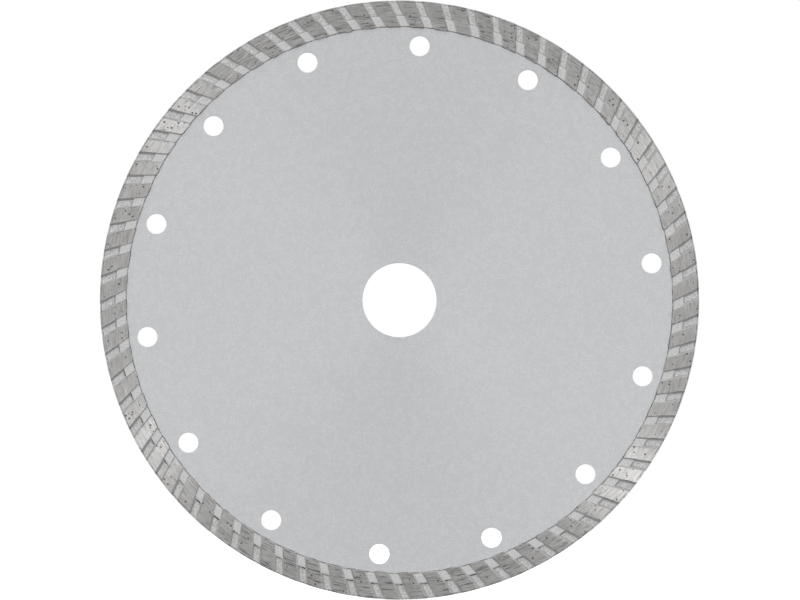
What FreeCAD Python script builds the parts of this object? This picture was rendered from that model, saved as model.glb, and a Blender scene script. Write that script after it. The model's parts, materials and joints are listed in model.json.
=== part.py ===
import FreeCAD, Part
import math
import os
import random

# A continuous turbo-rim diamond blade for an angle grinder, 180 mm across, with a 22.23 mm bore.
# It stands upright. Its axis is Y, its origin is the centre of the bore on the mid-plane, +Z is
# up and its front face looks along -Y. Angles start at +X and grow towards +Z. A level is a
# height above the mid-plane, on the front or on the back. All lengths are in millimetres.

# Whole blade
BLADE_DIAMETER = 180.0  # over the crystals that stand out of the edge

# Steel core: a punched plate with an arbor bore and a circle of cooling holes
CORE_THICKNESS = 1.6
CORE_RADIUS = 85.0  # its edge is buried in the rim
BORE_DIAMETER = 22.23
HOLE_COUNT = 14
HOLE_DIAMETER = 6.0
HOLE_CIRCLE_RADIUS = 76.5
FIRST_HOLE_ANGLE = 8.32
PUNCHED_EDGE_ROUND = 0.15
SEAT_DEPTH = 0.05  # the band that the rim grips lies this much below the core's faces

# Keys: notches in the core's edge, narrower at their mouth than inside, that the rim fills
KEY_COUNT = 36
KEY_RADIUS = 0.8
KEY_CIRCLE_RADIUS = 84.6

# Sintered rim: one ring that wraps the core's edge, with slanting ribs on both faces
RIM_THICKNESS = 2.4
RIM_INNER_RADIUS = 81.9
RIM_END_DRAFT = 0.1  # how far the ring's inner wall leans back from the core to the rib tops
RIM_EDGE_BREAK = 0.1  # bevel round the outer corners
RIB_COUNT = 72
RIB_CORNER_RADIUS = 0.5  # round at the inner end of each rib

# Grooves between the ribs
FIRST_GROOVE_ANGLE = -1.27  # where a front groove starts, at the rim's inner edge
GROOVE_SLANT = 27.1  # degrees between a groove and the radius at its start
GROOVE_OPENING_ARC = 2.16  # degrees of the circle that a groove takes at the rib tops
GROOVE_DRAFT = 45.0  # degrees that a groove's walls lean out
SHALLOW_FLOOR_LEVEL = 0.9  # inner half of a groove, a thin skin over the core
DEEP_FLOOR_LEVEL = 0.5  # outer half of a groove
STEP_FOOT_RADIUS = 85.63  # where the step between the two reaches the deep floor

# Diamond crystals: eight-sided, with cut tips, seated in pockets of the rim
CRYSTAL_SIZE_RANGE = (0.42, 0.56)
CRYSTAL_TIP_RATIO = 0.7  # from the centre to an uncut tip, as a share of the size across
CRYSTAL_STAND = 0.05  # how far a crystal stands out of the rim
CRYSTALS_PER_RIB = 3
CRYSTALS_PER_RIB_EDGE = 2
CRYSTAL_BAND = (82.6, 89.2)  # radii between which a rib's face carries crystals
CRYSTAL_RIB_ARC = 1.7  # degrees of a rib's top that carry crystals
CRYSTAL_EDGE_LEVELS = (0.0, 0.6)  # the side of the outer edge that a rib backs
CRYSTAL_SEED = 180

# Clearances of the cutting bodies
OVERRUN = 0.5
RIB_PITCH = 360.0 / RIB_COUNT
RIM_OUTER_RADIUS = BLADE_DIAMETER / 2 - CRYSTAL_STAND

CENTRE = FreeCAD.Vector(0, 0, 0)
FRONT = FreeCAD.Vector(0, -1, 0)
BACK = FreeCAD.Vector(0, 1, 0)


def turned(shape, degrees):
    """Return a copy of the shape turned about the blade's axis, from +X towards +Z."""
    copy = shape.copy()
    copy.rotate(CENTRE, FRONT, degrees)
    return copy


def ring_of(shape, count, first_angle=0.0):
    """Return copies of the shape, evenly spaced round the axis."""
    return [turned(shape, first_angle + 360.0 * k / count) for k in range(count)]


def disc(radius, thickness, distance=0.0):
    """Return a disc across the mid-plane, with its centre at a distance along X."""
    base = FreeCAD.Vector(distance, -thickness / 2, 0)
    return Part.makeCylinder(radius, thickness, base, BACK)


def core_edge():
    """Return the core's plate with its seat and keyed edge, before anything is punched in it."""
    seat = disc(CORE_RADIUS, CORE_THICKNESS - 2 * SEAT_DEPTH)
    plate = disc(RIM_INNER_RADIUS, CORE_THICKNESS).fuse(seat)
    notch = disc(KEY_RADIUS, CORE_THICKNESS + OVERRUN, KEY_CIRCLE_RADIUS)
    return plate.cut(Part.makeCompound(ring_of(notch, KEY_COUNT)))


def steel_core(plate):
    """Return the plate with the bore and the cooling holes, their edges a little rounded."""
    depth = CORE_THICKNESS + OVERRUN
    bore = disc(BORE_DIAMETER / 2, depth)
    hole = disc(HOLE_DIAMETER / 2, depth, HOLE_CIRCLE_RADIUS)
    punches = [bore] + ring_of(hole, HOLE_COUNT, FIRST_HOLE_ANGLE)
    punched = plate.cut(Part.makeCompound(punches))
    radii = (BORE_DIAMETER / 2, HOLE_DIAMETER / 2)
    rims = [edge for edge in punched.Edges if is_full_circle(edge, radii)]
    return punched.makeFillet(PUNCHED_EDGE_ROUND, rims)


def is_full_circle(edge, radii):
    """Say whether the edge is a whole circle of one of these radii."""
    if not isinstance(edge.Curve, Part.Circle) or not edge.isClosed():
        return False
    return any(math.isclose(edge.Curve.Radius, radius, abs_tol=1e-6) for radius in radii)


def rim_blank():
    """Return the rim as a plain ring, before its grooves are cut."""
    half = RIM_THICKNESS / 2
    core_face = CORE_THICKNESS / 2
    top_radius = RIM_INNER_RADIUS + RIM_END_DRAFT
    bevel_radius = RIM_OUTER_RADIUS - RIM_EDGE_BREAK
    bevel_level = half - RIM_EDGE_BREAK
    front_half = [
        (RIM_INNER_RADIUS, -core_face),
        (top_radius, -half),
        (bevel_radius, -half),
        (RIM_OUTER_RADIUS, -bevel_level),
    ]
    back_half = [(radius, -level) for radius, level in reversed(front_half)]
    corners = [FreeCAD.Vector(radius, level, 0) for radius, level in front_half + back_half]
    section = Part.Face(Part.makePolygon(corners + corners[:1]))
    return section.revolve(CENTRE, BACK, 360)


def slant_run(radius):
    """Return how far along the rim a groove has moved by the time it reaches this radius."""
    return (radius - RIM_INNER_RADIUS) * math.tan(math.radians(GROOVE_SLANT))


def slant_angle(radius):
    """Return the same run as an angle round the axis, in degrees."""
    return math.degrees(math.atan2(slant_run(radius), radius))


def groove_side(radius, level, side):
    """Return the point of a groove's wall at this radius and level, on side -1 or +1.

    X is the radius through the groove's start, and Z runs along the rim.
    """
    half_opening = radius * math.radians(GROOVE_OPENING_ARC / 2)
    depth = RIM_THICKNESS / 2 - level
    lean = depth * math.tan(math.radians(GROOVE_DRAFT)) / math.cos(math.radians(GROOVE_SLANT))
    return FreeCAD.Vector(radius, -level, slant_run(radius) + side * (half_opening - lean))


def corner_arc(before, corner, after, radius):
    """Return the arc that rounds the corner between two straight runs."""
    back = (before - corner).normalize()
    ahead = (after - corner).normalize()
    inward = (back + ahead).normalize()
    half_angle = back.getAngle(ahead) / 2
    reach = radius / math.tan(half_angle)
    middle = corner + inward * (radius / math.sin(half_angle) - radius)
    return Part.Arc(corner + back * reach, middle, corner + ahead * reach)


def straight_runs(points):
    """Return the straight edges from each point to the next."""
    return [Part.makeLine(start, end) for start, end in zip(points, points[1:])]


def shallow_outline(level):
    """Return the edges round a groove at this level, end to end, flaring at the rib corners."""
    outer = [groove_side(RIM_OUTER_RADIUS + OVERRUN, level, side) for side in (-1, 1)]
    inner = [groove_side(RIM_INNER_RADIUS, level, side) for side in (-1, 1)]
    flare = FreeCAD.Vector(0, 0, 2 * RIB_CORNER_RADIUS)
    flare_ends = [inner[0] - flare, inner[1] + flare]
    closing = [end - FreeCAD.Vector(OVERRUN, 0, 0) for end in flare_ends]
    near = corner_arc(flare_ends[0], inner[0], outer[0], RIB_CORNER_RADIUS)
    far = corner_arc(outer[1], inner[1], flare_ends[1], RIB_CORNER_RADIUS)
    outer_run = straight_runs([near.EndPoint, outer[0], outer[1], far.StartPoint])
    ends = [flare_ends[1], closing[1], closing[0], flare_ends[0]]
    inner_run = straight_runs([far.EndPoint] + ends + [near.StartPoint])
    return outer_run + [far.toShape()] + inner_run + [near.toShape()]


def deep_outline(level):
    """Return the edges round a groove's deep outer half at this level."""
    foot = STEP_FOOT_RADIUS - (level - DEEP_FLOOR_LEVEL)
    end = RIM_OUTER_RADIUS + OVERRUN
    left = [groove_side(radius, level, -1) for radius in (foot, end)]
    right = [groove_side(radius, level, 1) for radius in (end, foot)]
    return straight_runs(left + right + left[:1])


def drafted_body(lower, upper):
    """Return the body between two outlines whose edges match one to one."""
    walls = []
    for low, high in zip(lower, upper):
        if isinstance(low.Curve, Part.Line):
            low_ends = [vertex.Point for vertex in low.Vertexes]
            high_ends = [vertex.Point for vertex in high.Vertexes]
            corners = low_ends + high_ends[::-1] + low_ends[:1]
            walls.append(Part.Face(Part.makePolygon(corners)))
        else:
            walls.append(Part.makeRuledSurface(low, high))
    caps = [Part.Face(Part.Wire(outline)) for outline in (lower, upper)]
    shell = Part.makeShell(walls + caps)
    shell.sewShape()
    return Part.makeSolid(shell)


def groove_cutter():
    """Return the body that cuts one front groove, at angle 0."""
    top = RIM_THICKNESS / 2 + OVERRUN
    shallow = drafted_body(shallow_outline(SHALLOW_FLOOR_LEVEL), shallow_outline(top))
    deep = drafted_body(deep_outline(DEEP_FLOOR_LEVEL), deep_outline(top))
    return shallow.fuse(deep).removeSplitter().Solids[0]


def back_groove_cutter(front):
    """Return the body for a back groove: the front one mirrored, half a pitch along."""
    return turned(front.mirror(CENTRE, BACK), RIB_PITCH / 2)


def crystal(size):
    """Return one crystal at the origin: an octahedron with its six tips cut off."""
    tip = size * CRYSTAL_TIP_RATIO
    faces = []
    for sx in (-1, 1):
        for sy in (-1, 1):
            for sz in (-1, 1):
                tips = [
                    FreeCAD.Vector(sx * tip, 0, 0),
                    FreeCAD.Vector(0, sy * tip, 0),
                    FreeCAD.Vector(0, 0, sz * tip),
                ]
                faces.append(Part.Face(Part.makePolygon(tips + tips[:1])))
    octahedron = Part.makeSolid(Part.makeShell(faces))
    cube = Part.makeBox(size, size, size, FreeCAD.Vector(-size / 2, -size / 2, -size / 2))
    return octahedron.common(cube).Solids[0]


def tumbled_crystal(rng):
    """Return a crystal of a random size, lying at a random angle."""
    stone = crystal(rng.uniform(*CRYSTAL_SIZE_RANGE))
    axis = FreeCAD.Vector(rng.uniform(-1, 1), rng.uniform(-1, 1), rng.uniform(0.1, 1))
    stone.rotate(CENTRE, axis, rng.uniform(0, 360))
    return stone


def face_crystals(rng, side, first_rib_angle):
    """Return the crystals in the ribs of one face: side is -1 for the front, 1 for the back."""
    band = (CRYSTAL_BAND[1] - CRYSTAL_BAND[0]) / CRYSTALS_PER_RIB
    stones = []
    for rib in range(RIB_COUNT):
        for place in range(CRYSTALS_PER_RIB):
            stone = tumbled_crystal(rng)
            radius = CRYSTAL_BAND[0] + band * (place + rng.uniform(0.2, 0.8))
            angle = first_rib_angle + rib * RIB_PITCH + slant_angle(radius)
            angle += CRYSTAL_RIB_ARC * rng.uniform(-0.5, 0.5)
            box = stone.BoundBox
            reach = box.YMax if side > 0 else -box.YMin
            level = RIM_THICKNESS / 2 + CRYSTAL_STAND - reach
            stone.translate(FreeCAD.Vector(radius, side * level, 0))
            stones.append(turned(stone, angle))
    return stones


def edge_crystals(rng, first_rib_angle):
    """Return the crystals in the outer edge, where a front rib backs it."""
    share = CRYSTAL_RIB_ARC / CRYSTALS_PER_RIB_EDGE
    first_angle = first_rib_angle + slant_angle(RIM_OUTER_RADIUS)
    stones = []
    for rib in range(RIB_COUNT):
        for place in range(CRYSTALS_PER_RIB_EDGE):
            stone = tumbled_crystal(rng)
            angle = first_angle + rib * RIB_PITCH
            angle += share * (place - CRYSTALS_PER_RIB_EDGE / 2 + rng.uniform(0.3, 0.7))
            level = rng.uniform(*CRYSTAL_EDGE_LEVELS)
            radius = BLADE_DIAMETER / 2 - stone.BoundBox.XMax
            stone.translate(FreeCAD.Vector(radius, -level, 0))
            stones.append(turned(stone, angle))
    return stones


def main():
    """Build every piece and write it to its own file."""
    plate = core_edge()
    front_groove = groove_cutter()
    back_groove = back_groove_cutter(front_groove)
    grooves = ring_of(front_groove, RIB_COUNT, FIRST_GROOVE_ANGLE)
    grooves += ring_of(back_groove, RIB_COUNT, FIRST_GROOVE_ANGLE)

    rng = random.Random(CRYSTAL_SEED)
    front_rib_angle = FIRST_GROOVE_ANGLE + RIB_PITCH / 2
    grit_front = face_crystals(rng, -1, front_rib_angle)
    grit_back = face_crystals(rng, 1, FIRST_GROOVE_ANGLE)
    grit_edge = edge_crystals(rng, front_rib_angle)
    pockets = grit_front + grit_back + grit_edge

    rim = rim_blank().cut(plate)
    rim = rim.cut(Part.makeCompound(grooves))
    rim = rim.cut(Part.makeCompound(pockets))

    nodes = {
        "steel_core": steel_core(plate),
        "diamond_rim": rim,
        "grit_front": Part.makeCompound(grit_front),
        "grit_back": Part.makeCompound(grit_back),
        "grit_edge": Part.makeCompound(grit_edge),
    }
    os.makedirs("parts", exist_ok=True)
    for name, shape in nodes.items():
        shape.exportStep(f"parts/{name}.step")
        box = shape.BoundBox
        size = f"{box.XLength:.2f} x {box.YLength:.2f} x {box.ZLength:.2f} mm"
        print(f"{name}: {len(shape.Solids)} solids, {size}, valid {shape.isValid()}")


main()
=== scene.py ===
import json
import math

import bmesh
import bpy
import numpy as np
from mathutils import Matrix, Vector
from mathutils.geometry import delaunay_2d_cdt


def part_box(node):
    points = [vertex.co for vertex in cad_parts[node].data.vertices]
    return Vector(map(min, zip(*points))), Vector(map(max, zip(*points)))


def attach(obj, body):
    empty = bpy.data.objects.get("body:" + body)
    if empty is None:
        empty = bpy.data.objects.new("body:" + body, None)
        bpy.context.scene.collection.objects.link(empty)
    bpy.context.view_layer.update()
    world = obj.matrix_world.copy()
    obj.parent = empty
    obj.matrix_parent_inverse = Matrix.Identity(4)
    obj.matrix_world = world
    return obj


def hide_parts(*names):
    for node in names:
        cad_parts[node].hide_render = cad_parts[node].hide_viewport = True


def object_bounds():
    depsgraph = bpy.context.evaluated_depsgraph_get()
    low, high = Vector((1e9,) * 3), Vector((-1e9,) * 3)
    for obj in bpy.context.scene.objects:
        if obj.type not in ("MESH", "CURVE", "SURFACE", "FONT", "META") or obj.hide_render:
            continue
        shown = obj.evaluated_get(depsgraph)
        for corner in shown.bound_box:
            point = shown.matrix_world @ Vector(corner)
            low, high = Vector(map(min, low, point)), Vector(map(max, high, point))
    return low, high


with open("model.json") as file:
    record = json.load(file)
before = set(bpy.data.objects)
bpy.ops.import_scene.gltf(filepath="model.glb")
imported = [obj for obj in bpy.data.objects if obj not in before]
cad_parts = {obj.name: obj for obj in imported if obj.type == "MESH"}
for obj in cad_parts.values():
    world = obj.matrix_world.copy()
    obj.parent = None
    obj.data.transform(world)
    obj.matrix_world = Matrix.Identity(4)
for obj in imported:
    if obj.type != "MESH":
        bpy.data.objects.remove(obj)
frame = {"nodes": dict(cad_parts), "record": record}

cad_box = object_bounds()

# The blade stands upright with its axis along Y, its centre at the origin and its front face
# towards -Y. Angles start at +X and grow towards +Z. A level is a height above the mid-plane, on
# the front or on the back. Shapes are worked out in millimetres and degrees, and stored in metres.
MM = 0.001

# Sizes that the frame holds
RIM_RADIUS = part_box("diamond_rim")[1].x / MM
RIM_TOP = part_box("diamond_rim")[1].y / MM
CORE_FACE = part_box("steel_core")[1].y / MM
BORE_RADIUS = frame["record"]["mounts"][0]["dims"]["r_mm"]

# The core's edge, hidden in the rim, and its punched holes
CORE_RADIUS = 85.0
HOLE_COUNT = 14
HOLE_RADIUS = 3.0
HOLE_CIRCLE_RADIUS = 76.5
FIRST_HOLE_ANGLE = 8.32
PUNCHED_EDGE_ROUND = 0.15

# Points round each ring of the core, steps round a punched edge, and the least gap of two points
CORE_EDGE_POINTS = 288
BORE_POINTS = 240
HOLE_POINTS = 96
PUNCHED_EDGE_STEPS = 4
MERGE_DISTANCE = 1e-6

# Ribs and grooves of the rim
RIB_COUNT = 72
RIB_PITCH = 360.0 / RIB_COUNT
RIB_END_RADIUS = 81.92
RIB_CORNER_RADIUS = 0.5
FIRST_GROOVE_ANGLE = -1.27
GROOVE_SLANT = 27.1
GROOVE_OPENING_ARC = 2.16
GROOVE_MOUTH_RECESS = 0.12
SHALLOW_FLOOR_LEVEL = 0.9
DEEP_FLOOR_LEVEL = 0.5
STEP_TOP_RADIUS = 85.23
STEP_WIDTH = 0.44
STEP_EDGE_REACH = 0.04
# The blade angle at which the step's painted shade is darkest
STEP_SHADE_ANGLE = 250.0
# How far the painted shadow along one edge of each groove reaches
BURR_SHADE_REACH = 0.1
BARE_WALL_WIDTH = 0.55
END_WALL_WIDTH = 0.24
END_WALL_FADE = 0.08
# The width of the seams' painted shade, and how far the rim's lip stands above the core face
SEAM_SHADE_WIDTH = 0.08
SEAM_LIFT = 0.004
OUTER_EDGE_ROUND = 0.14
WORN_EDGE = 0.09

# How far the ribs' inner ends and the grooves' edges stray from their lines
RAGGED_END = 0.045
WANDERING_EDGE = 0.03
STRAY_SEED = 180

# Passes that settle where a row of points lies along the slant
SLANT_PASSES = 3

# The rim's finish and its painted shade, kept at its points. Between two points it runs from one value to
# the other.
FINISH_AND_SHADE_ATTRIBUTE = "finish_and_shade"
PAINTED = 0.0
BARE = 1.0
# BURR_SHADE and SEAM_SHADE are painted shade: a thin dark line along one edge of each groove, and dark in
# the seams where the rim meets the core.
BURR_SHADE = 1.65
SEAM_SHADE = 2.0

# How far under a rib's top its grinding begins and is full, and the depth of all fine relief
GROUND_DEPTHS = (0.035, 0.008)
RELIEF_DEPTH = 0.02

# The bond's gloss off the rib tops
MOULDED_ROUGHNESS = 0.6
MOULDED_METALLIC = 0.15

# Shading: edges sharper than this stay crisp, and large faces lead the rest by this weight.
SHARP_ANGLE = 50.0
FLAT_FACE_WEIGHT = 90


# ---------------------------------------------------------------- node helpers

def add(tree, kind, values=None, **properties):
    """Add a shader node, set its properties, then fill or link its inputs."""
    node = tree.nodes.new("ShaderNode" + kind)
    for name, value in properties.items():
        setattr(node, name, value)
    for socket, value in (values or {}).items():
        if isinstance(value, bpy.types.NodeSocket):
            tree.links.new(value, node.inputs[socket])
        else:
            node.inputs[socket].default_value = value
    return node


def math_node(tree, operation, first, second=0.0, third=0.0):
    """Return the result of a math operation on sockets or numbers."""
    values = {0: first, 1: second, 2: third}
    return add(tree, "Math", values, operation=operation).outputs[0]


def ramp_between(tree, value, low, high, start=0.0, end=1.0):
    """Return value carried smoothly from the range low..high to start..end."""
    values = {"Value": value, "From Min": low, "From Max": high, "To Min": start, "To Max": end}
    node = add(tree, "MapRange", values, interpolation_type="SMOOTHSTEP")
    return node.outputs[0]


def mix_colour(tree, factor, first, second):
    """Return the mix of two colours: the first at factor 0, the second at 1."""
    node = add(tree, "Mix", data_type="RGBA")
    for index, value in ((0, factor), (6, first), (7, second)):
        if isinstance(value, bpy.types.NodeSocket):
            tree.links.new(value, node.inputs[index])
        else:
            node.inputs[index].default_value = value
    return node.outputs[2]


def grey(value, warmth=0.0):
    """Return a linear grey, a little warmer or, below zero, a little bluer."""
    return (value * (1 + warmth), value, value * (1 - warmth), 1.0)


def new_material(name):
    """Return a new material, its node tree and its Principled shader."""
    material = bpy.data.materials.new(name)
    material.use_nodes = True
    tree = material.node_tree
    shader = next(node for node in tree.nodes if node.type == "BSDF_PRINCIPLED")
    return material, tree, shader


def noise(tree, vector, scale, detail=2.0, roughness=0.5):
    """Return the value of a noise pattern."""
    values = {"Vector": vector, "Scale": scale, "Detail": detail, "Roughness": roughness}
    return add(tree, "TexNoise", values).outputs[0]


def object_coordinates(tree):
    """Return the place on the object, in metres."""
    return add(tree, "TexCoord").outputs["Object"]


def marks_round_axis(tree, place, across, along, detail, roughness):
    """Return a noise drawn out round the axis: narrower with across, shorter with along."""
    x, y, z = add(tree, "SeparateXYZ", {0: place}).outputs
    x_squared = math_node(tree, "MULTIPLY", x, x)
    z_squared = math_node(tree, "MULTIPLY", z, z)
    radius = math_node(tree, "SQRT", math_node(tree, "ADD", x_squared, z_squared))
    stretched = math_node(tree, "MULTIPLY", math_node(tree, "ADD", radius, y), across)
    cosine = math_node(tree, "MULTIPLY", math_node(tree, "DIVIDE", x, radius), along)
    sine = math_node(tree, "MULTIPLY", math_node(tree, "DIVIDE", z, radius), along)
    ring = add(tree, "CombineXYZ", {0: stretched, 1: cosine, 2: sine}).outputs[0]
    return noise(tree, ring, 1.0, detail, roughness)


def link_relief(tree, shader, height, strength):
    """Let a height pattern tilt the surface a little."""
    bump = add(tree, "Bump", {"Height": height, "Strength": strength, "Distance": RELIEF_DEPTH * MM})
    tree.links.new(bump.outputs[0], shader.inputs["Normal"])


def brush_round_axis(tree, shader, amount):
    """Stretch the gloss across the fine marks that run round the blade."""
    shader.inputs["Anisotropic"].default_value = amount
    # A quarter of a turn, from along the marks to across them
    shader.inputs["Anisotropic Rotation"].default_value = 0.25
    tangent = add(tree, "Tangent", direction_type="RADIAL", axis="Y")
    tree.links.new(tangent.outputs[0], shader.inputs["Tangent"])


# ------------------------------------------------------------------- materials

def painted_steel():
    """Thin satin paint over rolled steel, with a fine grain."""
    material, tree, shader = new_material("painted_steel")
    place = object_coordinates(tree)
    grain = noise(tree, place, 2600, 3, 0.6)
    mottle = noise(tree, place, 700, 2)
    dark, light = grey(0.46, -0.02), grey(0.57, -0.02)
    colour = mix_colour(tree, ramp_between(tree, grain, 0.35, 0.65), dark, light)
    colour = mix_colour(tree, ramp_between(tree, mottle, 0.35, 0.65, 0.0, 0.5), colour, dark)
    tree.links.new(colour, shader.inputs["Base Color"])
    tree.links.new(ramp_between(tree, grain, 0.2, 0.8, 0.42, 0.58), shader.inputs["Roughness"])
    shader.inputs["Metallic"].default_value = 0.25
    brush_round_axis(tree, shader, 0.65)
    link_relief(tree, shader, grain, 0.25)
    return material


def lost_grain_pits(tree, place, powder):
    """Return 1 in the small ragged pits that lost grains leave and 0 between them."""
    # Each cell, about a millimetre across, has its own seed, which sizes its pit or leaves it out.
    cells = add(tree, "TexVoronoi", {"Vector": place, "Scale": 950.0, "Randomness": 1.0})
    seed = add(tree, "SeparateColor", {0: cells.outputs["Color"]}).outputs[0]
    size = ramp_between(tree, seed, 0.36, 1.0, -0.12, 0.31)
    ragged = ramp_between(tree, powder, 0.3, 0.7, -0.06, 0.06)
    distance = math_node(tree, "ADD", cells.outputs["Distance"], ragged)
    return ramp_between(tree, math_node(tree, "SUBTRACT", size, distance), -0.04, 0.06)


def moulded_colour(tree, place, level, finish_and_shade, powder):
    """Return the colour off the rib tops: painted floors, bare walls, and painted shade along the groove
    edges and in the seams.
    """
    paint = mix_colour(tree, ramp_between(tree, powder, 0.38, 0.62), grey(0.44), grey(0.62))
    rough_paint = mix_colour(tree, ramp_between(tree, powder, 0.35, 0.6), grey(0.336), grey(0.614))
    deep = ramp_between(tree, level, DEEP_FLOOR_LEVEL * MM, SHALLOW_FLOOR_LEVEL * MM, 1.0, 0.0)
    paint = mix_colour(tree, deep, paint, rough_paint)
    dark, light = grey(0.26, 0.015), grey(0.40, 0.015)
    bond = mix_colour(tree, ramp_between(tree, powder, 0.3, 0.7), dark, light)
    # Painted shade in the seams: blotchy, from near black to dark grey
    blotch = ramp_between(tree, noise(tree, place, 600, 2), 0.42, 0.56)
    seam_shade_colour = mix_colour(tree, blotch, grey(0.03), grey(0.34))
    # The first ramp lies between BARE and the seams' painted shade, and the second between PAINTED and BARE.
    bond = mix_colour(tree, ramp_between(tree, finish_and_shade, 1.2, 1.8), bond, seam_shade_colour)
    return mix_colour(tree, ramp_between(tree, finish_and_shade, 0.35, 0.65), paint, bond)


def ground_colour(tree, place, height):
    """Return the colour of the rib tops: finely marked metal with dark scars, darker towards the top and
    bottom as painted shade.
    """
    fine = marks_round_axis(tree, place, 5200, 24, 4, 0.65)
    dark, light = grey(0.335, 0.012), grey(0.495, 0.012)
    metal = mix_colour(tree, ramp_between(tree, fine, 0.36, 0.64), dark, light)
    # The scars grow darker towards the top and the bottom: painted shade, as light falls there.
    far_up = math_node(tree, "ABSOLUTE", height)
    scar_shade = ramp_between(tree, far_up, 0.4 * RIM_RADIUS * MM, RIM_RADIUS * MM, 0.2, 1.0)
    scars = marks_round_axis(tree, place, 2700, 15, 3, 0.55)
    scars_with_shade = math_node(tree, "MULTIPLY", ramp_between(tree, scars, 0.55, 0.64), scar_shade)
    return mix_colour(tree, scars_with_shade, metal, grey(0.15, 0.02))


def metal_bond():
    """Sintered metal: ground bright on the rib tops, bare on the walls, painted on the floors."""
    material, tree, shader = new_material("metal_bond")
    place = object_coordinates(tree)
    _, depth, height = add(tree, "SeparateXYZ", {0: place}).outputs
    level = math_node(tree, "ABSOLUTE", depth)
    finish_and_shade = add(tree, "Attribute", attribute_name=FINISH_AND_SHADE_ATTRIBUTE).outputs["Fac"]
    powder = noise(tree, place, 3200, 3, 0.65)

    grinding_starts, grinding_full = ((RIM_TOP - under) * MM for under in GROUND_DEPTHS)
    ground = ramp_between(tree, level, grinding_starts, grinding_full)
    # Where painted shade lies along the groove edges and in the seams, the rib top's grinding fades out.
    off_burr_shade = ramp_between(tree, finish_and_shade, 1.1, 1.5, 1.0, 0.2)
    ground = math_node(tree, "MULTIPLY", ground, off_burr_shade)
    bands = marks_round_axis(tree, place, 1800, 12, 1, 0.6)
    shine = ramp_between(tree, bands, 0.44, 0.54, 1.0, 0.0)
    pit = lost_grain_pits(tree, place, powder)
    pit_on_rib = math_node(tree, "MULTIPLY", pit, ground)

    moulded = moulded_colour(tree, place, level, finish_and_shade, powder)
    colour = mix_colour(tree, ground, moulded, ground_colour(tree, place, height))
    # The pits are painted near black: painted shade inside them.
    colour = mix_colour(tree, pit_on_rib, colour, grey(0.07, 0.05))
    tree.links.new(colour, shader.inputs["Base Color"])

    rib_roughness = ramp_between(tree, shine, 0.0, 1.0, 0.33, 0.28)
    smoother = math_node(tree, "SUBTRACT", rib_roughness, MOULDED_ROUGHNESS)
    roughness = math_node(tree, "MULTIPLY_ADD", ground, smoother, MOULDED_ROUGHNESS)
    tree.links.new(roughness, shader.inputs["Roughness"])

    clean = math_node(tree, "MULTIPLY", math_node(tree, "SUBTRACT", 1.0, pit), ground)
    rib_metallic = ramp_between(tree, shine, 0.0, 1.0, 0.6, 0.85)
    metallic = math_node(tree, "MULTIPLY_ADD", clean, rib_metallic, MOULDED_METALLIC)
    tree.links.new(metallic, shader.inputs["Metallic"])
    brush_round_axis(tree, shader, 1.0)

    streaks = math_node(tree, "MULTIPLY", math_node(tree, "SUBTRACT", bands, 0.5), 3.5)
    streaks = math_node(tree, "MULTIPLY", streaks, ground)
    pits = math_node(tree, "MULTIPLY", pit_on_rib, 0.8)
    grain_height = ramp_between(tree, ground, 0.0, 1.0, 0.6, 0.0)
    grains = math_node(tree, "MULTIPLY", math_node(tree, "SUBTRACT", powder, 0.5), grain_height)
    relief = math_node(tree, "ADD", math_node(tree, "SUBTRACT", streaks, pits), grains)
    link_relief(tree, shader, relief, 0.6)
    return material


def diamond_grit():
    """Dark crystals, glassy on their cut faces, each a little different."""
    material, tree, shader = new_material("diamond_grit")
    place = object_coordinates(tree)
    tint = noise(tree, place, 700, 1)
    dark, light = (0.035, 0.034, 0.03, 1), (0.16, 0.15, 0.11, 1)
    colour = mix_colour(tree, ramp_between(tree, tint, 0.4, 0.6), dark, light)
    tree.links.new(colour, shader.inputs["Base Color"])
    dust = noise(tree, place, 6000)
    tree.links.new(ramp_between(tree, dust, 0.3, 0.7, 0.5, 0.7), shader.inputs["Roughness"])
    shader.inputs["IOR"].default_value = 2.4
    return material


def pale_floor():
    """A plain white studio floor with a faint mottle."""
    material, tree, shader = new_material("pale_floor")
    mottle = noise(tree, object_coordinates(tree), 40, 2)
    colour = mix_colour(tree, mottle, grey(0.93), grey(0.96))
    tree.links.new(colour, shader.inputs["Base Color"])
    shader.inputs["Roughness"].default_value = 0.7
    return material


# ------------------------------------------------------------------ mesh tools

def smooth_min(first, second, width):
    """Return the lower of two heights, with the corner between them rounded."""
    share = np.clip(0.5 + 0.5 * (second - first) / width, 0, 1)
    return second + (first - second) * share - width * share * (1 - share)


def smooth_max(first, second, width):
    """Return the higher of two heights, with the corner between them rounded."""
    return -smooth_min(-first, -second, width)


def finished_mesh(name, points, faces, material):
    """Return an object of these points, in millimetres, with smooth sides and crisp flats."""
    mesh = bpy.data.meshes.new(name)
    mesh.from_pydata([tuple(point) for point in np.asarray(points) * MM], [], faces)
    builder = bmesh.new()
    builder.from_mesh(mesh)
    bmesh.ops.recalc_face_normals(builder, faces=builder.faces)
    builder.to_mesh(mesh)
    builder.free()
    mesh.shade_smooth()
    mesh.set_sharp_from_angle(angle=math.radians(SHARP_ANGLE))
    mesh.materials.append(material)
    piece = bpy.data.objects.new(name, mesh)
    bpy.context.scene.collection.objects.link(piece)
    weighted = piece.modifiers.new("flat_faces_lead", "WEIGHTED_NORMAL")
    weighted.keep_sharp = True
    weighted.weight = FLAT_FACE_WEIGHT
    return piece


def strip(lower, upper):
    """Return the quads between two closed rings of as many points."""
    count = len(lower)
    return [(lower[k], lower[(k + 1) % count], upper[(k + 1) % count], upper[k]) for k in range(count)]


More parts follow.
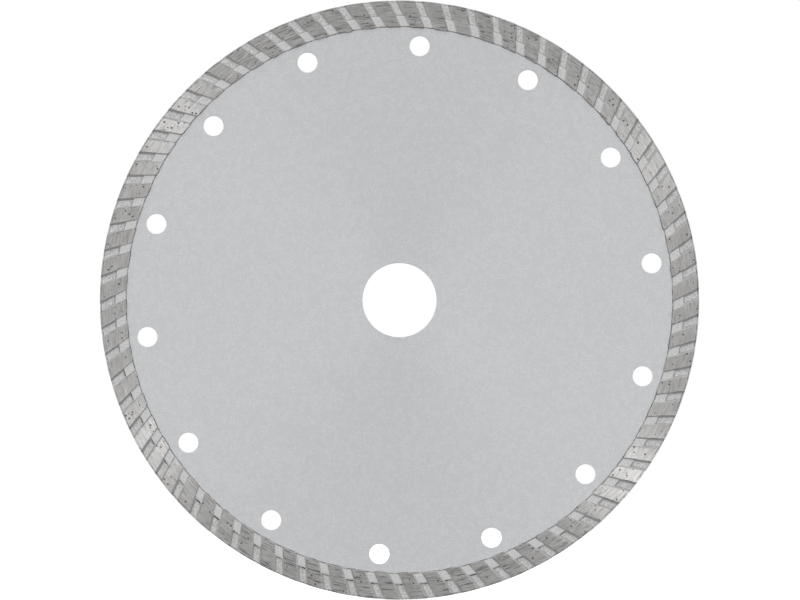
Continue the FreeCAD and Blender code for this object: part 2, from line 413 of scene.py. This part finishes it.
def zipper(first, first_angles, second, second_angles):
    """Return the triangles between two closed rings whose points are at different angles."""
    turn = 2 * math.pi
    near_ring = list(first) + [first[0]]
    near_turns = np.append((first_angles - first_angles[0]) % turn, turn)
    start = int(np.argmin((second_angles - first_angles[0]) % turn))
    order = [(start + k) % len(second) for k in range(len(second) + 1)]
    far_ring = [second[k] for k in order]
    far_turns = (second_angles[order[:-1]] - first_angles[0]) % turn
    far_turns = np.append(far_turns, far_turns[0] + turn)
    triangles, near, far = [], 0, 0
    while near < len(first) or far < len(second):
        if far >= len(second) or (near < len(first) and near_turns[near + 1] <= far_turns[far + 1]):
            triangles.append((near_ring[near], near_ring[near + 1], far_ring[far]))
            near += 1
        else:
            triangles.append((near_ring[near], far_ring[far + 1], far_ring[far]))
            far += 1
    return triangles


# ------------------------------------------------------------------ steel core

def punched_profile(radius):
    """Return a punched hole's (radius, level) points from the front face to the back face."""
    turns = [math.radians(90 * k / PUNCHED_EDGE_STEPS) for k in range(PUNCHED_EDGE_STEPS + 1)]
    edge = PUNCHED_EDGE_ROUND
    front = [(radius + edge * (1 - math.sin(turn)), -CORE_FACE + edge * (1 - math.cos(turn)))
             for turn in turns]
    return front + [(ring, -level) for ring, level in reversed(front)]


def build_core(material):
    """The punched plate: two flat faces, joined through the bore, the holes and the outer edge."""
    points, faces = [], []

    def ring(centre, radius, level, count):
        """Add a ring of points and return its numbers."""
        first = len(points)
        for k in range(count):
            angle = 2 * math.pi * k / count
            x, z = centre[0] + radius * math.cos(angle), centre[1] + radius * math.sin(angle)
            points.append((x, level, z))
        return list(range(first, first + count))

    outer = [ring((0, 0), CORE_RADIUS, level, CORE_EDGE_POINTS) for level in (-CORE_FACE, CORE_FACE)]
    faces.extend(strip(*outer))
    borders = [outer]
    holes = [((0, 0), BORE_RADIUS, BORE_POINTS)]
    for k in range(HOLE_COUNT):
        angle = math.radians(FIRST_HOLE_ANGLE + 360 * k / HOLE_COUNT)
        centre = (HOLE_CIRCLE_RADIUS * math.cos(angle), HOLE_CIRCLE_RADIUS * math.sin(angle))
        holes.append((centre, HOLE_RADIUS, HOLE_POINTS))
    for centre, radius, count in holes:
        rings = [ring(centre, reach, level, count) for reach, level in punched_profile(radius)]
        for lower, upper in zip(rings, rings[1:]):
            faces.extend(strip(lower, upper))
        borders.append((rings[0], rings[-1]))

    for side in (0, 1):
        numbers = [number for border in borders for number in border[side]]
        flat = [Vector((points[number][0], points[number][2])) for number in numbers]
        edges, owners = [], []
        for owner, border in enumerate(borders):
            start, count = len(owners), len(border[side])
            edges.extend((start + k, start + (k + 1) % count) for k in range(count))
            owners.extend([owner] * count)
        for triangle in delaunay_2d_cdt(flat, edges, [], 0, MERGE_DISTANCE)[2]:
            # A triangle with all its corners on one hole's border fills that hole, so it is left
            # out. The first border is the outer edge.
            touched = {owners[k] for k in triangle}
            if len(touched) > 1 or 0 in touched:
                faces.append(tuple(numbers[k] for k in triangle))
    return finished_mesh("core_plate", points, faces, material)


# ----------------------------------------------------------------- diamond rim

def groove_columns():
    """Return the places across one pitch as (kind, distance past the groove's edge).

    Distances are in millimetres, below zero inside the groove. Kinds -1 and 1 go with the groove's
    two edges, kind 0 is its middle and kind 2 is the rib's middle.
    """
    inside = [-1.0, -0.82, -0.75, -0.52, -0.37, -0.30, -0.15, -0.04]
    outside = [0.0, 0.06, 0.16, 0.32, 0.55]
    distances = inside + outside
    left = [(-1, distance) for distance in reversed(distances)]
    right = [(1, distance) for distance in distances]
    return left + [(0, 0.0)] + right + [(2, 0.0)]


def rim_rows():
    """Return the rows of one face as (radius, from the rib's end, finish and painted shade of the groove's
    floor).

    A row whose second value is true is measured from the inner end of the rib that it crosses.
    """
    wall = END_WALL_WIDTH
    step, step_foot = STEP_TOP_RADIUS, STEP_TOP_RADIUS + STEP_WIDTH
    # At the rib's inner end the seam is painted dark as shade, then the end wall is bare.
    end_rows = [
        (-SEAM_SHADE_WIDTH, SEAM_SHADE), (0.0, SEAM_SHADE), (0.25 * wall, SEAM_SHADE), (0.5 * wall, BARE), (wall, BARE),
        (wall + END_WALL_FADE, PAINTED),
    ]
    floor_rows = [
        # The shallow floor
        (83.3, PAINTED), (84.5, PAINTED), (step - STEP_EDGE_REACH, PAINTED),
        # The step down
        (step + STEP_EDGE_REACH, BARE), (step + 0.2, BARE), (step + 0.36, BARE), (step_foot, PAINTED),
        # The deep floor
        (86.4, PAINTED), (87.9, PAINTED), (89.2, PAINTED),
        # A thin dark line near the edge, in the same dark as the seams
        (89.44, PAINTED), (89.51, SEAM_SHADE), (89.6, SEAM_SHADE), (89.68, PAINTED),
        # The outer edge
        (RIM_RADIUS - 0.12, PAINTED), (RIM_RADIUS - 0.05, BARE), (RIM_RADIUS, BARE),
    ]
    return [(radius, True, finish_and_shade) for radius, finish_and_shade in end_rows] + [
        (radius, False, finish_and_shade) for radius, finish_and_shade in floor_rows]


def rim_face(side, first_angle, rng):
    """Return the points, rows by columns, and the finish and painted shade of one face: side is -1 front or
    1 back.
    """
    columns = groove_columns()
    count = len(columns) * RIB_COUNT
    rows = rim_rows()

    kind = np.array([column[0] for column in columns] * RIB_COUNT)
    past = np.array([column[1] for column in columns] * RIB_COUNT)
    groove_middle, rib_middle = kind == 0, kind == 2
    pitch = np.repeat(np.arange(RIB_COUNT), len(columns))

    # Where the ribs end at the core: rounded at their corners, set back in the grooves, and ragged
    ragged = rng.normal(0, RAGGED_END, count)
    on_rib = np.where(rib_middle, RIB_CORNER_RADIUS, np.where(groove_middle, -1.0, past))
    missing = np.clip(RIB_CORNER_RADIUS - on_rib, 0, RIB_CORNER_RADIUS)
    recess = RIB_CORNER_RADIUS - np.sqrt(RIB_CORNER_RADIUS ** 2 - missing ** 2)
    end = RIB_END_RADIUS + np.minimum(recess, GROOVE_MOUTH_RECESS) + ragged
    wander = rng.normal(0, WANDERING_EDGE, (len(rows), RIB_COUNT, 2))

    points, finishes_and_shades = [], []
    for index, (row_radius, from_end, floor_finish_and_shade) in enumerate(rows):
        # reach runs along the groove's own radius, and along stands square to it. Each needs the
        # other, so they are found in a few passes.
        radius = end + row_radius if from_end else np.full(count, row_radius)
        shift = np.where(kind == 1, wander[index, pitch, 0], wander[index, pitch, 1])
        shift = np.where(groove_middle | rib_middle, 0, shift)
        reach = radius
        for _ in range(SLANT_PASSES):
            half = reach * math.radians(GROOVE_OPENING_ARC / 2)
            rib_half = reach * math.radians(RIB_PITCH - GROOVE_OPENING_ARC) / 2
            across = np.where(rib_middle, half + rib_half, kind * (half + past))
            run = (reach - RIB_END_RADIUS) * math.tan(math.radians(GROOVE_SLANT))
            along = run + across + shift
            reach = np.sqrt(radius ** 2 - along ** 2)
        angle = np.radians(first_angle + pitch * RIB_PITCH) + np.arctan2(along, reach)

        # The walls lean by 45 degrees across the slant, and the worn edges round their corners.
        edge_distance = np.where(groove_middle, -half, np.where(rib_middle, rib_half, past))
        wall = RIM_TOP + edge_distance * math.cos(math.radians(GROOVE_SLANT))
        step_level = SHALLOW_FLOOR_LEVEL - (radius - STEP_TOP_RADIUS)
        floor = np.clip(step_level, DEEP_FLOOR_LEVEL, SHALLOW_FLOOR_LEVEL)
        level = smooth_min(smooth_max(wall, floor, WORN_EDGE), RIM_TOP, WORN_EDGE)
        bare_wall = (wall > floor) & ((kind != 1) | (past > -BARE_WALL_WIDTH))
        finish_and_shade = np.where(bare_wall, np.maximum(floor_finish_and_shade, BARE), floor_finish_and_shade)
        # A thin dark line along the top of one edge of each groove: painted shadow.
        finish_and_shade = np.where((kind == 1) & (abs(past) < BURR_SHADE_REACH), np.maximum(finish_and_shade, BURR_SHADE), finish_and_shade)
        # Where the step faces down and to the left it is darkened towards the seams' dark: painted shade, as
        # light falls from above.
        if STEP_TOP_RADIUS < row_radius < STEP_TOP_RADIUS + STEP_WIDTH:
            step_shade = (SEAM_SHADE - BARE) * np.clip(np.cos(angle - math.radians(STEP_SHADE_ANGLE)), 0, 1)
            finish_and_shade = finish_and_shade + np.where(wall < floor, step_shade, 0)
        if from_end:
            rise = max(row_radius, 0) * (RIM_TOP - CORE_FACE) / END_WALL_WIDTH
            level = np.minimum(level, CORE_FACE + SEAM_LIFT + rise)
        sunk = np.clip(radius - (RIM_RADIUS - OUTER_EDGE_ROUND), 0, OUTER_EDGE_ROUND)
        level = level - (OUTER_EDGE_ROUND - np.sqrt(OUTER_EDGE_ROUND ** 2 - sunk ** 2))
        points.append(np.stack([radius * np.cos(angle), side * level, radius * np.sin(angle)], axis=1))
        finishes_and_shades.append(finish_and_shade)
    return np.array(points), np.array(finishes_and_shades)


def build_rim(material):
    """The sintered ring as one closed mesh: two ribbed faces, the edge and the seat of the core."""
    rng = np.random.default_rng(STRAY_SEED)
    faces, points, total = [], [], 0
    edge_rings, seat_rings, finishes_and_shades = [], [], []
    for side, first_angle in ((-1, FIRST_GROOVE_ANGLE), (1, FIRST_GROOVE_ANGLE + RIB_PITCH / 2)):
        grid, finish_and_shade = rim_face(side, first_angle, rng)
        lip = grid[0] * (1.0, CORE_FACE / (CORE_FACE + SEAM_LIFT), 1.0)
        seat = lip.copy()
        seat[:, [0, 2]] *= (CORE_RADIUS / np.hypot(seat[:, 0], seat[:, 2]))[:, None]
        grid = np.concatenate([seat[None], grid])
        finishes_and_shades.append(np.concatenate([finish_and_shade[:1], finish_and_shade]).ravel())
        rows, columns = grid.shape[:2]
        numbers = total + np.arange(rows * columns).reshape(rows, columns)
        for lower, upper in zip(numbers, numbers[1:]):
            faces.extend(strip(lower.tolist(), upper.tolist()))
        seat_rings.append((numbers[0].tolist(), np.arctan2(seat[:, 2], seat[:, 0])))
        edge_rings.append((numbers[-1].tolist(), np.arctan2(grid[-1][:, 2], grid[-1][:, 0])))
        points.append(grid.reshape(-1, 3))
        total += rows * columns
    for rings in (seat_rings, edge_rings):
        faces.extend(zipper(*rings[0], *rings[1]))
    rim = finished_mesh("rim_ring", np.concatenate(points), faces, material)
    attribute = rim.data.attributes.new(FINISH_AND_SHADE_ATTRIBUTE, "FLOAT", "POINT")
    attribute.data.foreach_set("value", np.concatenate(finishes_and_shades))
    return rim


# ----------------------------------------------------------------------- stage

# The camera: the width it sees at the front face, and how far right of the centre it stands
VIEW_WIDTH = 240.17
CAMERA_SIDESTEP = 0.14
LENS_MM = 400.0
SENSOR_MM = 36.0

# The lights, in metres, watts and degrees
LEFT_BOX = {"azimuth": 210, "power": 5.4}
RIGHT_BOX = {"azimuth": 322, "power": 7.0}
SOFT_BOX_TILT = 25
SOFT_BOX_DISTANCE = 3.0
SOFT_BOX_SIZE = (0.25, 0.7)
TOP_PANEL_DISTANCE = 2.0
TOP_PANEL_SIZE = (2.5, 2.5)
TOP_PANEL_POWER = 30

# The floor: its radius in metres, and the gap under the blade
FLOOR_RADIUS = 0.8
FLOOR_GAP = 0.2

# The room's brightness ahead of the blade and off to its sides, the sideways share of a direction
# at which it is full, and how much it grows from level to straight up
ROOM_AHEAD = 0.68
ROOM_ASIDE = 1.13
ROOM_ASIDE_SHARE = 0.8
ROOM_RISE = 0.8


def build_camera():
    """A long lens, level with the centre, square to the front face."""
    camera = bpy.data.objects.new("camera", bpy.data.cameras.new("camera"))
    bpy.context.scene.collection.objects.link(camera)
    camera.data.lens = LENS_MM
    camera.data.sensor_width = SENSOR_MM
    distance = LENS_MM / SENSOR_MM * VIEW_WIDTH * MM
    camera.location = (CAMERA_SIDESTEP * MM, -distance - RIM_TOP * MM, 0)
    camera.rotation_euler = (math.radians(90), 0, 0)
    camera.data.clip_start = 0.01
    camera.data.clip_end = 50
    bpy.context.scene.camera = camera


def soft_box(name, azimuth, tilt, distance, size, power):
    """An area light towards the centre: azimuth round the blade's axis, tilt off the front."""
    data = bpy.data.lights.new(name, "AREA")
    data.shape = "RECTANGLE"
    data.size, data.size_y = size
    data.energy = power
    light = bpy.data.objects.new(name, data)
    bpy.context.scene.collection.objects.link(light)
    turn, lean = math.radians(azimuth), math.radians(tilt)
    x, z = math.cos(turn) * math.sin(lean), math.sin(turn) * math.sin(lean)
    direction = Vector((x, -math.cos(lean), z))
    light.location = direction * distance
    across = Vector((-math.sin(turn), 0, math.cos(turn)))
    light.rotation_euler = Matrix((across, direction.cross(across), direction)).transposed().to_euler()
    light.visible_camera = False
    return light


def build_lights():
    """Low soft boxes to the left and right of each face, and a panel overhead."""
    for side, tilt in (("front", SOFT_BOX_TILT), ("back", 180 - SOFT_BOX_TILT)):
        for place, box in (("left", LEFT_BOX), ("right", RIGHT_BOX)):
            soft_box(f"{side}_{place}", box["azimuth"], tilt, SOFT_BOX_DISTANCE, SOFT_BOX_SIZE, box["power"])
    panel = soft_box("top_panel", 90, 90, TOP_PANEL_DISTANCE, TOP_PANEL_SIZE, TOP_PANEL_POWER)
    panel.visible_glossy = False


def build_floor():
    """A round floor just under the blade, which only the camera sees."""
    builder = bmesh.new()
    bmesh.ops.create_circle(builder, cap_ends=True, segments=96, radius=FLOOR_RADIUS)
    mesh = bpy.data.meshes.new("floor")
    builder.to_mesh(mesh)
    builder.free()
    mesh.materials.append(pale_floor())
    floor = bpy.data.objects.new("floor", mesh)
    floor.location.z = cad_box[0].z - FLOOR_GAP * MM
    floor.visible_glossy = False
    floor.visible_diffuse = False
    floor.visible_shadow = False
    bpy.context.scene.collection.objects.link(floor)


def build_world():
    """White to the camera, soft grey to the blade."""
    world = bpy.data.worlds.new("studio")
    bpy.context.scene.world = world
    world.use_nodes = True
    tree = world.node_tree
    tree.nodes.clear()
    seen = add(tree, "Background", {"Color": (1, 1, 1, 1), "Strength": 1.0})
    x, _, z = add(tree, "SeparateXYZ", {0: add(tree, "TexCoord").outputs["Generated"]}).outputs
    aside = math_node(tree, "ABSOLUTE", x)
    sideways = ramp_between(tree, aside, 0.0, ROOM_ASIDE_SHARE, ROOM_AHEAD, ROOM_ASIDE)
    upwards = math_node(tree, "MULTIPLY_ADD", z, ROOM_RISE, 1.0)
    strength = math_node(tree, "MULTIPLY", sideways, upwards)
    room = add(tree, "Background", {"Color": (1, 1, 1, 1), "Strength": strength})
    path = add(tree, "LightPath")
    to_camera = path.outputs["Is Camera Ray"]
    both = add(tree, "MixShader", {0: to_camera, 1: room.outputs[0], 2: seen.outputs[0]})
    add(tree, "OutputWorld", {0: both.outputs[0]})


# ------------------------------------------------------------------------ main

build_camera()
build_world()
build_floor()
build_lights()
bpy.context.scene.view_settings.view_transform = "Standard"

core = build_core(painted_steel())
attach(core, "root")
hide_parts("steel_core")

rim = build_rim(metal_bond())
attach(rim, "root")
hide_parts("diamond_rim")

grit_material = diamond_grit()
for node in ("grit_front", "grit_back", "grit_edge"):
    mesh = frame["nodes"][node].data
    mesh.materials.clear()
    mesh.materials.append(grit_material)
